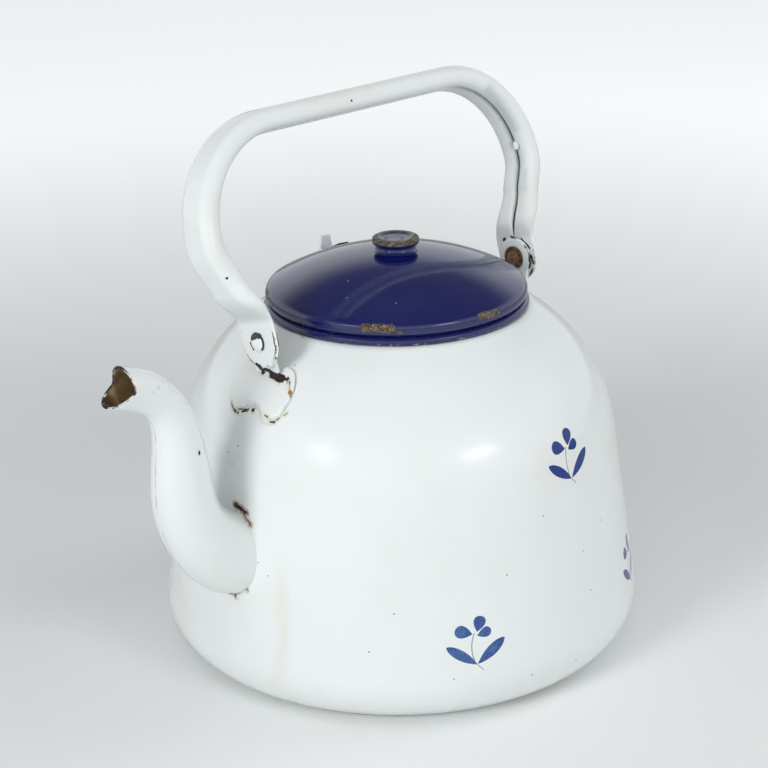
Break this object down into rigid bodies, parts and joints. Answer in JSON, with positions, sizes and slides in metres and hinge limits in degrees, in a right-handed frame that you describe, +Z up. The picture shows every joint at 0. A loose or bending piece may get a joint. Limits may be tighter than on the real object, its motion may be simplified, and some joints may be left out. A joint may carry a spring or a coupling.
{
  "type": "enamelled tea kettle",
  "caption": "Round-shouldered enamelled kettle with a swan-neck spout, a swinging bail handle and a hinged domed lid.",
  "frame": {"origin": "centre of the flat bottom, on the surface the kettle stands on", "axes": "+Z up along the body's axis, -X towards the spout, +X towards the back, +Y by the right-hand rule"},
  "size_m": [0.299, 0.24, 0.2759],
  "materials": {
    "white_enamel": "gloss vitreous enamel",
    "blue_enamel": "gloss vitreous enamel",
    "bare_steel": "browned bare steel"
  },
  "bodies": {
    "kettle": {"body_shell": "white_enamel", "base_pan": "white_enamel", "mouth_ring": "blue_enamel", "spout_left_half": "white_enamel", "spout_right_half": "white_enamel", "front_ear": "white_enamel", "rear_ear": "white_enamel", "front_rivet": "white_enamel", "rear_rivet": "white_enamel", "front_rivet_washer": "bare_steel", "rear_rivet_washer": "bare_steel", "hinge_bracket": "white_enamel", "hinge_pin": "bare_steel"},
    "bail": {"bail_handle": "white_enamel"},
    "lid": {"lid_dome": "blue_enamel", "lid_collar": "white_enamel", "hinge_leaf": "blue_enamel", "knob_neck": "blue_enamel", "knob_cap": "blue_enamel", "knob_rivet": "bare_steel", "knob_washer": "bare_steel"}
  },
  "joints": [
    {"name": "bail_swing", "type": "hinge", "parent": "kettle", "child": "bail", "pos_m": [0, 0, 0.17457], "axis": [1, 0, 0], "range_deg": [-78, 111]},
    {"name": "lid_hinge", "type": "hinge", "parent": "kettle", "child": "lid", "pos_m": [0.01813, 0.06766, 0.17852], "axis": [-0.9659, 0.2588, 0], "range_deg": [0, 45]}
  ]
}
